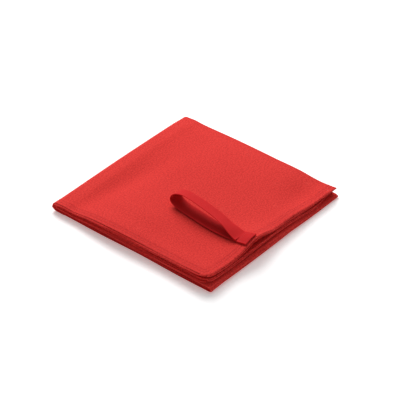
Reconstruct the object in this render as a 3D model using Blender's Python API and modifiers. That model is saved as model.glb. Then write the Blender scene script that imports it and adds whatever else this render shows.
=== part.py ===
"""A fire blanket, folded to a square pack, with a sewn pull loop lying on its top flap.

The cloth is folded in half twice across its width, which makes four plies, and then in half twice
along its length, which makes four rows of four plies. Each row is one strip of cloth that runs back
and forth, and the rows are joined by the folds along the back edge and the front edge of the pack.
Lengths are in metres. X runs from the back folds to the free end of the top row, Y from the side
hems to the folds on the far side, and Z is up.
"""

import math

import bmesh
import bpy
from mathutils import Matrix, Vector

# The blanket's cut size and how it is folded.
BLANKET_SIDE = 1.0
FOLDED_PARTS = 4
PACK_SIDE = BLANKET_SIDE / FOLDED_PARTS
CLOTH = 0.00075
GAP = 0.0003
PITCH = CLOTH + GAP
PLIES_IN_ROW = 4
ROWS = 4
PLIES = PLIES_IN_ROW * ROWS
STACK = PLIES * PITCH - GAP
FRONT_FOLD_PROUD = 0.005

# Hems and their thread.
HEM_WIDTH = 0.012
INNER_HEM_BACK = 0.0015
SIDE_FOLD_BACK = 0.0025
THREAD_RADIUS = 0.0003
THREAD_IN = 0.0090
THREAD_STEP = 0.0040

# The pull loop: a woven tape whose two ends are sewn flat, one on the other.
TAPE_WIDTH = 0.020
TAPE = 0.0011
LOOP_LENGTH = 0.112
LOOP_RISE = 0.018
LOOP_SKEW = 0.004
LOOP_ROLL_FROM = 0.75
LOOP_TIP_SHIFT = 0.009
LOOP_FROM_SIDE = 0.082
SEWN_LENGTH = 0.016
SEWN_FROM_EDGE = 0.0010
UPPER_TILT = math.radians(20.0)
LOWER_TILT = math.radians(4.0)
LOOP_STATIONS = 132
TAPE_STRIPS = 4
BOX_STITCH_IN = 0.0025

# Where the pack stands: its box is centred on the origin and rests on Z = 0.
X_BACK = -(PACK_SIDE + FRONT_FOLD_PROUD) / 2
X_FREE = X_BACK + PACK_SIDE
X_FRONT = X_FREE + FRONT_FOLD_PROUD
Y_SIDE = -PACK_SIDE / 2
Y_FAR = PACK_SIDE / 2
BACK_FOLD_RADIUS = (PLIES - 1) / 2 * PITCH
FRONT_FOLD_RADIUS = (2 * PLIES_IN_ROW - 1) / 2 * PITCH
FAR_FOLD_RADIUS = (PLIES_IN_ROW - 1) / 2 * PITCH
INNER_FOLD_RADIUS = PITCH / 2
X_BACK_CENTRE = X_BACK + BACK_FOLD_RADIUS + CLOTH / 2
X_FRONT_CENTRE = X_FRONT - FRONT_FOLD_RADIUS - CLOTH / 2
Y_FAR_CENTRE = Y_FAR - FAR_FOLD_RADIUS - CLOTH / 2
Y_SIDE_CENTRE = Y_SIDE + SIDE_FOLD_BACK
Z_BACK_CENTRE = STACK / 2
Z_FRONT_CENTRE = PLIES_IN_ROW * PITCH - GAP / 2

# The upper rows unfold about a line behind the folds, by half the mean length of cloth in a fold.
MEAN_FOLD_RADIUS = PLIES / 4 * PITCH
X_UNFOLD = X_BACK_CENTRE - math.pi * MEAN_FOLD_RADIUS / 2
ARC_STEPS = 10

RED_CLOTH = (0.62, 0.05, 0.045, 1.0)
RED_FOLD = (0.50, 0.03, 0.035, 1.0)
RED_HEM = (0.56, 0.04, 0.04, 1.0)
RED_TAPE = (0.45, 0.02, 0.03, 1.0)
RED_THREAD = (0.40, 0.02, 0.02, 1.0)

ROW_NAMES = ("top_row", "second_row", "third_row", "bottom_row")


def ply_z(ply):
    """The middle height of a ply, where ply 0 is the lowest."""
    return ply * PITCH + CLOTH / 2


def material(name, colour, roughness):
    """A plain Principled material."""
    made = bpy.data.materials.new(name)
    made.use_nodes = True
    shader = made.node_tree.nodes["Principled BSDF"]
    shader.inputs["Base Color"].default_value = colour
    shader.inputs["Roughness"].default_value = roughness
    return made


def add(name, data, collection, colour, roughness=0.9):
    """An object with a material of its own, in the blanket's collection."""
    made = bpy.data.objects.new(name, data)
    made.data.materials.append(material("mat_" + name, colour, roughness))
    collection.objects.link(made)
    return made


def arc(centre, radius, first, last, steps=ARC_STEPS):
    """Points on a circle in a plane, from one angle in degrees to another."""
    points = []
    for step in range(steps + 1):
        angle = math.radians(first + (last - first) * step / steps)
        points.append((centre[0] + radius * math.cos(angle), centre[1] + radius * math.sin(angle)))
    return points


def sheet(name, profile, along, low, high, collection, colour):
    """Cloth whose section is a line in one upright plane, carried straight along the other axis."""
    mesh = bpy.data.meshes.new(name)
    work = bmesh.new()
    corners = []
    for across, height in profile:
        if along == "X":
            corners.append(work.verts.new((low, across, height)))
        else:
            corners.append(work.verts.new((across, low, height)))
    edges = [work.edges.new(pair) for pair in zip(corners, corners[1:])]
    grown = bmesh.ops.extrude_edge_only(work, edges=edges)
    moved = [item for item in grown["geom"] if isinstance(item, bmesh.types.BMVert)]
    step = Vector((high - low, 0, 0)) if along == "X" else Vector((0, high - low, 0))
    bmesh.ops.translate(work, verts=moved, vec=step)
    bmesh.ops.recalc_face_normals(work, faces=work.faces)
    work.to_mesh(mesh)
    work.free()
    made = add(name, mesh, collection, colour)
    shell = made.modifiers.new("cloth", "SOLIDIFY")
    shell.thickness = CLOTH
    shell.offset = 0.0
    shell.use_even_offset = True
    return made


def slab(name, low, high, collection, colour, roughness=0.9):
    """A flat strip given by two opposite corners."""
    mesh = bpy.data.meshes.new(name)
    work = bmesh.new()
    bmesh.ops.create_cube(work, size=1.0)
    size = Vector(high) - Vector(low)
    bmesh.ops.scale(work, vec=size, verts=work.verts)
    bmesh.ops.translate(work, vec=(Vector(high) + Vector(low)) / 2, verts=work.verts)
    work.to_mesh(mesh)
    work.free()
    return add(name, mesh, collection, colour, roughness)


def thread(name, points, collection, closed=False):
    """A sewing thread along a line of points."""
    curve = bpy.data.curves.new(name, "CURVE")
    curve.dimensions = "3D"
    curve.bevel_depth = THREAD_RADIUS
    curve.bevel_resolution = 1
    curve.use_fill_caps = True
    line = curve.splines.new("POLY")
    line.points.add(len(points) - 1)
    for place, point in zip(line.points, points):
        place.co = (*point, 1.0)
    line.use_cyclic_u = closed
    return add(name, curve, collection, RED_THREAD, 0.7)


def folded_line(lowest, upright, side_start):
    """The section of one row: four plies joined by the far folds and one fold at the side.

    The ply at the outside of the pack has a free edge, the next one in has the other free edge, and
    the two plies furthest in are joined at the side. An upright row has its free edges on top.
    """
    heights = [ply_z(lowest + step) for step in range(PLIES_IN_ROW)]
    if upright:
        heights.reverse()
    outer, inner, third, fourth = heights
    down = -1 if upright else 1
    middle = (outer + fourth) / 2
    points = [(side_start, outer)]
    points += arc((Y_FAR_CENTRE, middle), FAR_FOLD_RADIUS, -90 * down, 90 * down)
    points += arc((Y_SIDE_CENTRE, (third + fourth) / 2), INNER_FOLD_RADIUS, 90 * down, 90 * down + 180 * down)
    points += arc((Y_FAR_CENTRE, middle), INNER_FOLD_RADIUS, 90 * down, -90 * down)
    points.append((side_start, inner))
    return points


def build_rows(collection):
    """The four rows of cloth, each with its side hems, and the hems at the free end."""
    for index, row in enumerate(ROW_NAMES):
        lowest = (ROWS - 1 - index) * PLIES_IN_ROW
        upright = index % 2 == 0
        at_end = index < 2
        x_low = X_BACK_CENTRE + GAP / 2
        x_high = X_FREE - HEM_WIDTH if at_end else X_FRONT_CENTRE
        x_high -= GAP / 2
        side_start = Y_SIDE + HEM_WIDTH + GAP
        line = folded_line(lowest, upright, side_start)
        sheet(row + "_cloth", line, "X", x_low, x_high, collection, RED_CLOTH)
        if at_end:
            x_hem = X_FREE - HEM_WIDTH + GAP / 2
            sheet(row + "_end_hem", line, "X", x_hem, X_FREE, collection, RED_HEM)
        outer = lowest + (PLIES_IN_ROW - 1 if upright else 0)
        inner = outer - 1 if upright else outer + 1
        x_stop = X_FREE if at_end else x_high
        for label, ply, y_low in (("outer", outer, Y_SIDE), ("inner", inner, Y_SIDE + INNER_HEM_BACK)):
            low = (x_low, y_low, ply_z(ply) - CLOTH / 2)
            high = (x_stop, Y_SIDE + HEM_WIDTH, ply_z(ply) + CLOTH / 2)
            slab(f"{row}_side_hem_{label}", low, high, collection, RED_HEM)


def build_back_folds(collection):
    """The folds along the back edge, one inside the other, that join the upper rows to the lower."""
    for ply in range(PLIES // 2):
        radius = BACK_FOLD_RADIUS - ply * PITCH
        low = X_BACK_CENTRE - GAP / 2
        line = [(low, Z_BACK_CENTRE + radius)]
        line += arc((low, Z_BACK_CENTRE), radius, 90, 270, 2 * ARC_STEPS)[1:]
        sheet(f"back_fold_{ply + 1}", line, "Y", Y_SIDE, Y_FAR_CENTRE, collection, RED_FOLD)


def build_front_folds(collection):
    """The folds along the front edge, one inside the other, that join the third and bottom rows."""
    for ply in range(PLIES_IN_ROW):
        radius = FRONT_FOLD_RADIUS - ply * PITCH
        start = X_FRONT_CENTRE + GAP / 2
        line = arc((start, Z_FRONT_CENTRE), radius, -90, 90, 2 * ARC_STEPS)
        sheet(f"front_fold_{ply + 1}", line, "Y", Y_SIDE, Y_FAR_CENTRE, collection, RED_FOLD)


def build_threads(collection):
    """Two lines of hem stitching along the side and the end of the top row."""
    height = STACK + GAP + THREAD_RADIUS
    loop_y = Y_SIDE + LOOP_FROM_SIDE
    clear = TAPE_WIDTH / 2 + GAP + THREAD_RADIUS
    for label, inward in (("outer", THREAD_IN - THREAD_STEP), ("inner", THREAD_IN)):
        y = Y_SIDE + inward
        x = X_FREE - inward
        ends = (X_BACK_CENTRE + THREAD_RADIUS, X_FREE - inward - 2 * THREAD_RADIUS)
        thread(f"side_hem_thread_{label}", [(ends[0], y, height), (ends[1], y, height)], collection)
        near = [(x, y - 2 * THREAD_RADIUS, height), (x, loop_y - clear, height)]
        far = [(x, loop_y + clear, height), (x, Y_FAR_CENTRE, height)]
        near[0] = (x, Y_SIDE + inward, height)
        thread(f"end_hem_thread_near_{label}", near, collection)
        thread(f"end_hem_thread_far_{label}", far, collection)


def smooth(value):
    """A smooth step from 0 to 1."""
    held = min(1.0, max(0.0, value))
    return held * held * (3 - 2 * held)


def half_rise_at(part):
    """Half the height between the two strands before the tip's roll closes it."""
    eased = part * part / (part + 0.03)
    return ((TAPE + GAP) + LOOP_RISE * (1 - (1 - eased) ** 5)) / 2


def roll_at(part):
    """How open the loop still is: 1 along the strands, falling to 0 round the tip's roll."""
    if part < LOOP_ROLL_FROM:
        return 1.0
    return math.sqrt(max(0.0, 1 - ((part - LOOP_ROLL_FROM) / (1 - LOOP_ROLL_FROM)) ** 2.4))


def strand_point(part, side, x_join, base_height):
    """The middle of the tape, and its width direction, on one strand.

    The lower strand leaves the seam along the cloth. The tape rolls over at the tip and comes back as
    the upper strand, arched above the lower one, tilted a little and skewed towards the far folds.
    """
    half = half_rise_at(part)
    roll = roll_at(part)
    tilt = (UPPER_TILT if side > 0 else LOWER_TILT) * smooth(part / 0.25) * roll
    width = Vector((0, math.cos(tilt), -math.sin(tilt)))
    skew = LOOP_SKEW * smooth(part / 0.4) * (1 + side * roll) / 2
    y = Y_SIDE + LOOP_FROM_SIDE + LOOP_TIP_SHIFT * smooth(part) + skew
    height = base_height + TAPE / 2 + half * (1 + side * roll)
    if side < 0:
        height += TAPE_WIDTH / 2 * math.sin(tilt)
    return Vector((x_join - LOOP_LENGTH * part, y, height)), width


def loop_stations(x_join, base_height):
    """Evenly spaced places along the tape: its middle and its width direction."""
    dense = []
    count = 400
    for step in range(count + 1):
        part = math.sin(math.pi / 2 * step / count)
        dense.append(strand_point(part, -1, x_join, base_height))
    for step in range(count - 1, -1, -1):
        part = math.sin(math.pi / 2 * step / count)
        dense.append(strand_point(part, 1, x_join, base_height))
    run = [0.0]
    for before, after in zip(dense, dense[1:]):
        run.append(run[-1] + (after[0] - before[0]).length)
    stations = []
    at = 0
    for step in range(LOOP_STATIONS + 1):
        wanted = run[-1] * step / LOOP_STATIONS
        while at < len(run) - 2 and run[at + 1] < wanted:
            at += 1
        share = (wanted - run[at]) / max(1e-12, run[at + 1] - run[at])
        place = dense[at][0].lerp(dense[at + 1][0], share)
        width = dense[at][1].lerp(dense[at + 1][1], share).normalized()
        stations.append((place, width))
    return stations


def build_loop_tape(collection, x_join, base_height):
    """The free part of the pull loop, lofted along the tape as it rolls over and comes back."""
    stations = loop_stations(x_join, base_height)
    mesh = bpy.data.meshes.new("pull_loop")
    work = bmesh.new()
    rings = []
    for index, (place, width) in enumerate(stations):
        before = stations[max(0, index - 1)][0]
        after = stations[min(len(stations) - 1, index + 1)][0]
        along = after - before
        if index in (0, len(stations) - 1):
            along = Vector((1 if index else -1, 0, 0))
        face = along.cross(width).normalized()
        shares = [2 * strip / TAPE_STRIPS - 1 for strip in range(TAPE_STRIPS + 1)]
        outline = [(across, -1) for across in shares] + [(across, 1) for across in reversed(shares)]
        corners = []
        for across, through in outline:
            offset = width * (across * TAPE_WIDTH / 2) + face * (through * TAPE / 2)
            corners.append(work.verts.new(place + offset))
        rings.append(corners)
    for first, second in zip(rings, rings[1:]):
        for side in range(len(first)):
            beyond = (side + 1) % len(first)
            work.faces.new((first[side], first[beyond], second[beyond], second[side]))
    work.faces.new(list(reversed(rings[0])))
    work.faces.new(rings[-1])
    bmesh.ops.recalc_face_normals(work, faces=work.faces)
    work.to_mesh(mesh)
    work.free()
    return add("pull_loop", mesh, collection, RED_TAPE, 0.7)


def build_loop(collection):
    """The sewn ends of the tape, the box of stitching over them and the free loop."""
    x_end = X_FREE - SEWN_FROM_EDGE
    x_join = x_end - SEWN_LENGTH
    y = Y_SIDE + LOOP_FROM_SIDE
    base_height = STACK + GAP
    for label, level in (("lower", 0), ("upper", 1)):
        z = base_height + level * (TAPE + GAP)
        low = (x_join + GAP, y - TAPE_WIDTH / 2, z)
        high = (x_end, y + TAPE_WIDTH / 2, z + TAPE)
        slab(f"loop_sewn_end_{label}", low, high, collection, RED_TAPE, 0.7)
    height = base_height + 2 * TAPE + 2 * GAP + THREAD_RADIUS
    half = TAPE_WIDTH / 2 - BOX_STITCH_IN
    first = x_join + GAP + BOX_STITCH_IN
    last = x_end - BOX_STITCH_IN
    box = [(first, y - half, height), (last, y - half, height)]
    box += [(last, y + half, height), (first, y + half, height)]
    thread("loop_box_stitch", box, collection, closed=True)
    build_loop_tape(collection, x_join, base_height)


def on_joint(name, place, nodes, collection):
    """An empty on a joint's axis, which carries the pieces that turn about it."""
    joint = bpy.data.objects.new(name, None)
    joint.location = place
    joint.empty_display_size = 0.02
    collection.objects.link(joint)
    for node in nodes:
        node.parent = joint
        node.matrix_parent_inverse = Matrix.Translation(-Vector(place))
    return joint


def build_joints(collection):
    """The line that the upper rows unfold about, and the seam that the loop swings about."""
    moving = ("top_row", "second_row", "side_hem_thread", "end_hem_thread", "loop_")
    upper = [piece for piece in collection.objects if piece.name.startswith(moving)]
    loop = [collection.objects["pull_loop"]]
    x_seam = X_FREE - SEWN_FROM_EDGE - SEWN_LENGTH
    seam = (x_seam, Y_SIDE + LOOP_FROM_SIDE, STACK + 2 * TAPE + 2 * GAP)
    unfold = on_joint("unfold_axis", (X_UNFOLD, 0, Z_BACK_CENTRE), upper, collection)
    swing = on_joint("loop_axis", seam, loop, collection)
    swing.parent = unfold
    swing.matrix_parent_inverse = Matrix.Translation(-unfold.location)


def main():
    for old in list(bpy.data.objects):
        bpy.data.objects.remove(old, do_unlink=True)
    blanket = bpy.data.collections.new("fire_blanket")
    bpy.context.scene.collection.children.link(blanket)
    build_rows(blanket)
    build_back_folds(blanket)
    build_front_folds(blanket)
    build_threads(blanket)
    build_loop(blanket)
    build_joints(blanket)


main()
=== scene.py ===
"""A folded fire blanket with a pull loop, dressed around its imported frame.

The blanket is one hemmed square of coated glass cloth. It is folded in half twice one way and twice
the other, so it lies as four rows of four plies. Two sets of folds join the rows: one along the back
edge and one along the front edge. A woven tape loop is sewn to the free end of the top row.

Lengths are in metres. X runs from the back folds to the free end, Y from the side hems to the far
folds, and Z is up.
"""

import logging
import math
from dataclasses import dataclass, field
from enum import Enum
from typing import Callable, Optional, Sequence, Union

import bpy
import numpy as np
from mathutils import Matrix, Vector


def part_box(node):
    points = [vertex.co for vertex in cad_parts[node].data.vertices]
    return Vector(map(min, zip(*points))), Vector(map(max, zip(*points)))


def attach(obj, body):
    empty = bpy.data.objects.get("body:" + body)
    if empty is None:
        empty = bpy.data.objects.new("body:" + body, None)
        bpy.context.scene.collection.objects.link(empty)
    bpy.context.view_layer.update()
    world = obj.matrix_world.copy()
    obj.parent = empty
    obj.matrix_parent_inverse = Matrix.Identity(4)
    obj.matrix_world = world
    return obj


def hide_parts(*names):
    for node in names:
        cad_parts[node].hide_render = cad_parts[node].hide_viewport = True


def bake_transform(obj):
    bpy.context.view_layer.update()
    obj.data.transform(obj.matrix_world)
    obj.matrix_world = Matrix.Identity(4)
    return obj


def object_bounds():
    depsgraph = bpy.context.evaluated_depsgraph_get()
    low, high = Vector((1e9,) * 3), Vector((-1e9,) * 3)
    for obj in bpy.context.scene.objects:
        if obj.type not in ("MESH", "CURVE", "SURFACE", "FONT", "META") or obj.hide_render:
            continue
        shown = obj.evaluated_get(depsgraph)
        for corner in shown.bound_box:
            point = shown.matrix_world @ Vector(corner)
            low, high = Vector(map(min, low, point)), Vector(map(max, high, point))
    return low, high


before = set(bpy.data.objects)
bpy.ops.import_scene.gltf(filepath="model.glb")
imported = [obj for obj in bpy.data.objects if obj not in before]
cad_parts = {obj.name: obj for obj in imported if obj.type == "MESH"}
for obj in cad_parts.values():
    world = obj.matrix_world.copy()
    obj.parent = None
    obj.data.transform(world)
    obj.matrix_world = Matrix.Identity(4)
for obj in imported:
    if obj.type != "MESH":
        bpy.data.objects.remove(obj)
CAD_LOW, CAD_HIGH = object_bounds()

LOG = logging.getLogger("fire_blanket")

MM = 0.001
CLOTH = 0.75 * MM
GAP = 0.3 * MM
PITCH = CLOTH + GAP
PLIES_IN_ROW = 4
PLIES = 16
STACK = PLIES * PITCH - GAP

X_BACK, X_FRONT = CAD_LOW.x, CAD_HIGH.x
X_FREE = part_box("top_row_end_hem")[1].x
Y_SIDE, Y_FAR = CAD_LOW.y, CAD_HIGH.y
BACK_RADIUS = (PLIES - 1) / 2 * PITCH
FRONT_RADIUS = (2 * PLIES_IN_ROW - 1) / 2 * PITCH
FAR_RADIUS = (PLIES_IN_ROW - 1) / 2 * PITCH
INNER_RADIUS = PITCH / 2
X_BACK_CENTRE = X_BACK + BACK_RADIUS + CLOTH / 2
X_FRONT_CENTRE = X_FRONT - FRONT_RADIUS - CLOTH / 2
Y_FAR_CENTRE = Y_FAR - FAR_RADIUS - CLOTH / 2
Y_SIDE_CENTRE = Y_SIDE + 2.5 * MM
Z_BACK_CENTRE = STACK / 2
Z_FRONT_CENTRE = PLIES_IN_ROW * PITCH - GAP / 2
INNER_HEM_BACK = 1.5 * MM

HEM_WIDTH = 12 * MM
HEM_UNDERLAP = 11 * MM
HEM_EASE = 0.8 * MM
INNER_HEM = 1.3 * MM
END_HEM_OVERLAP = 1.4 * MM
FOLD_TAIL = 11 * MM
STITCH_LINES = (5 * MM, 9 * MM)

LOWER, UPPER, LOOP = "lower_rows", "upper_rows", "pull_loop"

Array = np.ndarray
Place = Callable[[Array, Array], Array]
Profile = Callable[[Array, Array], Array]
Value = Union["Wire", float]


def smooth(value: Array) -> Array:
    """A smooth step from 0 to 1."""
    held = np.clip(value, 0.0, 1.0)
    return held * held * (3 - 2 * held)


def spaced(first: float, last: float, step: float) -> Array:
    """Evenly spaced values from first to last, no further apart than step."""
    return np.linspace(first, last, max(2, math.ceil(abs(last - first) / step) + 1))


def along_line(at: Array, run: Array, values: Array) -> Array:
    """Rows of values, read off at lengths between those in run."""
    return np.stack([np.interp(at, run, values[:, k]) for k in range(3)], axis=-1)


def unit(vectors: Array) -> Array:
    """Each vector at length 1."""
    return vectors / np.maximum(np.linalg.norm(vectors, axis=-1, keepdims=True), 1e-12)


# ---------------------------------------------------------------- how the pile rests


@dataclass(frozen=True)
class Swell:
    """One soft rise or hollow in the pile, in millimetres."""

    x: float
    y: float
    along: float
    across: float
    height: float
    turn: float = 0.0

    def at(self, x: Array, y: Array) -> Array:
        """The rise in metres at places given in metres.

        Args:
            x: Places along the pile.
            y: Places across it.

        Returns:
            The rise at each place.
        """
        angle = math.radians(self.turn)
        right = (x / MM - self.x) * math.cos(angle) + (y / MM - self.y) * math.sin(angle)
        up = (y / MM - self.y) * math.cos(angle) - (x / MM - self.x) * math.sin(angle)
        return self.height * MM * np.exp(-((right / self.along) ** 2) - (up / self.across) ** 2)


@dataclass(frozen=True)
class Pile:
    """How the flat pile of plies settles: pressed at one corner, thick at its hems, its flap raised."""

    corner_press: float = 0.20
    corner_reach: tuple[float, float] = (60 * MM, 85 * MM)
    hem_swell: float = 2.4 * MM
    lower_set_in: float = 2.2 * MM
    raggedness: float = 0.55 * MM
    fan: float = 0.30
    far_press: float = 0.36
    far_drop: float = 1.1 * MM
    side_zone: tuple[float, float] = (36 * MM, 26 * MM)
    far_zone: tuple[float, float] = (24 * MM, 20 * MM)
    free_zone: float = 40 * MM
    back_zone: float = 90 * MM
    press_zone: tuple[float, float] = (10 * MM, 100 * MM)
    second_zone: tuple[float, float] = (80 * MM, 40 * MM)
    second_set_in: float = 4.5 * MM
    wedge_slope: float = 1.2 * MM
    second_row_mm: float = 8.11
    top_row_mm: float = 12.31
    row_gap_mm: float = 0.28
    lower_top_mm: float = 8.4
    flap_mm: tuple[float, float] = (12.6, 3.9)
    flap_near_mm: float = 3.6
    flap_hump_mm: float = 8.6
    flap_corner_mm: float = 1.6
    swells: tuple[Swell, ...] = (
        Swell(-83, -44, 17, 80, -4.0, -7),
        Swell(-106, 0, 9, 200, 1.6),
        Swell(-22, -80, 44, 44, 3.6),
        Swell(-14, 58, 60, 44, 2.6),
        Swell(99, 88, 22, 36, -6.6, 10),
        Swell(122, 26, 15, 36, 3.2),
        Swell(128, 126, 42, 30, -3.6),
    )

    def above(self, z: Array, start: float) -> Array:
        """0 below the gap under a row, and 1 above it."""
        return smooth((z / MM - start) / self.row_gap_mm)

    def flap_lift(self, x: Array, y: Array) -> Array:
        """How far the top row is raised towards its free end, most of all under the sewn tape.

        Args:
            x: Places along the pile.
            y: Places across it.

        Returns:
            The rise at each place.
        """
        across = y / MM
        away = across + 35
        width = np.where(away < 0, 22.0, 28.0)
        reach = np.clip((x / MM - 40) / 84, 0, 1.02)
        near = self.flap_near_mm / (1 + np.exp((across + 10) / 9)) * reach**1.8
        hump = self.flap_hump_mm * np.exp(-((away / width) ** 2)) * reach**2.6
        corner = self.flap_corner_mm * np.exp(-(((across - 108) / 20) ** 2)) * reach**3
        return (near + hump + corner) * MM

    def second_lift(self, x: Array, y: Array) -> Array:
        """How far the second row is drawn up under the flap."""
        away = (y / MM + 34) / 30
        return (0.3 + 1.5 * np.exp(-(away**2))) * MM * smooth((x / MM - 60) / 64)

    @staticmethod
    def round_corner(x: Array, y: Array, radius: float) -> tuple[Array, Array]:
        """Draws a square corner at the free end of the side hems in to a round one.

        Args:
            x: Places along the pile.
            y: Places across it.
            radius: The rounded corner's radius.

        Returns:
            The same places, drawn in.
        """
        one = np.maximum((x - X_FREE + radius) / radius, 0)
        two = np.maximum((Y_SIDE + radius - y) / radius, 0)
        share = np.maximum(one, two) / np.maximum(np.hypot(one, two), 1e-9)
        share = np.where(one * two > 0, share, 1.0)
        drawn_x = np.where(one > 0, X_FREE - radius + one * share * radius, x)
        drawn_y = np.where(two > 0, Y_SIDE + radius - two * share * radius, y)
        return drawn_x, drawn_y

    def settle(self, flat: Array, corner_radius: float = 0.0) -> Array:
        """Moves points of the flat pile to where the cloth rests.

        Args:
            flat: Points in the flat pile, with X, Y and Z last.
            corner_radius: How round the corner of the free end is drawn, where it is.

        Returns:
            The same points at rest.
        """
        x, y, z = flat[..., 0], flat[..., 1], flat[..., 2]
        if corner_radius:
            x, y = self.round_corner(x, y, corner_radius)
        level = z / STACK
        ply = z / PITCH
        at_side = smooth((Y_SIDE + self.side_zone[0] - y) / self.side_zone[1])
        at_far = smooth((y - Y_FAR + self.far_zone[0]) / self.far_zone[1])
        at_free = smooth((x - X_FREE + self.free_zone) / self.free_zone)
        from_back = smooth((x - X_BACK_CENTRE) / self.back_zone)
        reach_x, reach_y = self.corner_reach
        corner = np.exp(-(((x - X_BACK) / reach_x) ** 2) - ((y - Y_SIDE) / reach_y) ** 2)
        rise = z * (1 - self.corner_press * corner)
        rise = rise + self.hem_swell * level * at_side * from_back
        rise = rise + np.maximum(level, 0) ** 1.5 * sum(swell.at(x, y) for swell in self.swells)
        in_flap = self.above(z, self.top_row_mm)
        above_lower = self.above(z, self.second_row_mm)
        pressed = smooth((y + self.press_zone[0]) / self.press_zone[1])
        rise = rise * (1 - self.far_press * (1 - in_flap) * pressed * at_free)
        rise = rise + above_lower * self.second_lift(x, y)
        within = np.clip((z / MM - self.flap_mm[0]) / self.flap_mm[1], 0, 1)
        opened = 1 - self.fan * (1 - within)
        rise = rise + in_flap * opened * self.flap_lift(x, y)
        lower = np.clip(1 - z / (self.lower_top_mm * MM), 0, 1)
        rise = rise - self.far_drop * level * at_far
        along = self.raggedness * np.sin(y / (21 * MM) + 1.9 * ply) * at_free
        across = self.raggedness * np.sin(x / (24 * MM) + 1.7 * ply)
        across = across * (at_side - at_far) * from_back
        across = across + self.lower_set_in * lower * at_side
        wedge = smooth((x - X_FRONT_CENTRE + 2 * MM) / (6 * MM))
        wedge = wedge * smooth((self.lower_top_mm - z / MM) / 1.5)
        along = along + self.wedge_slope * (0.5 - z / (8.1 * MM)) * wedge
        second_row = (1 - in_flap) * above_lower
        set_in = smooth((y - self.second_zone[0]) / self.second_zone[1])
        along = along - self.second_set_in * second_row * set_in * at_free
        return np.stack((x + along, y + across, rise), axis=-1)


PILE = Pile()


# ---------------------------------------------------------------- the line of one row


@dataclass(frozen=True)
class HemShape:
    """The thickness of a turned hem, with its sewn grooves."""

    thickness: float
    raised: float = 0.2 * MM
    groove: float = 0.34 * MM
    groove_half_width: float = 0.75 * MM

    def half(self, inward: Array) -> Array:
        """Half the hem's thickness at distances in from its edge."""
        dip = sum(np.exp(-(((inward - line) / self.groove_half_width) ** 2)) for line in STITCH_LINES)
        return self.thickness / 2 - self.groove * dip

    def sink(self) -> float:
        """How far the hem's middle lies inside the cloth's middle, so that its face stays flush."""
        return (self.thickness - CLOTH) / 2 - self.raised


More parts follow.
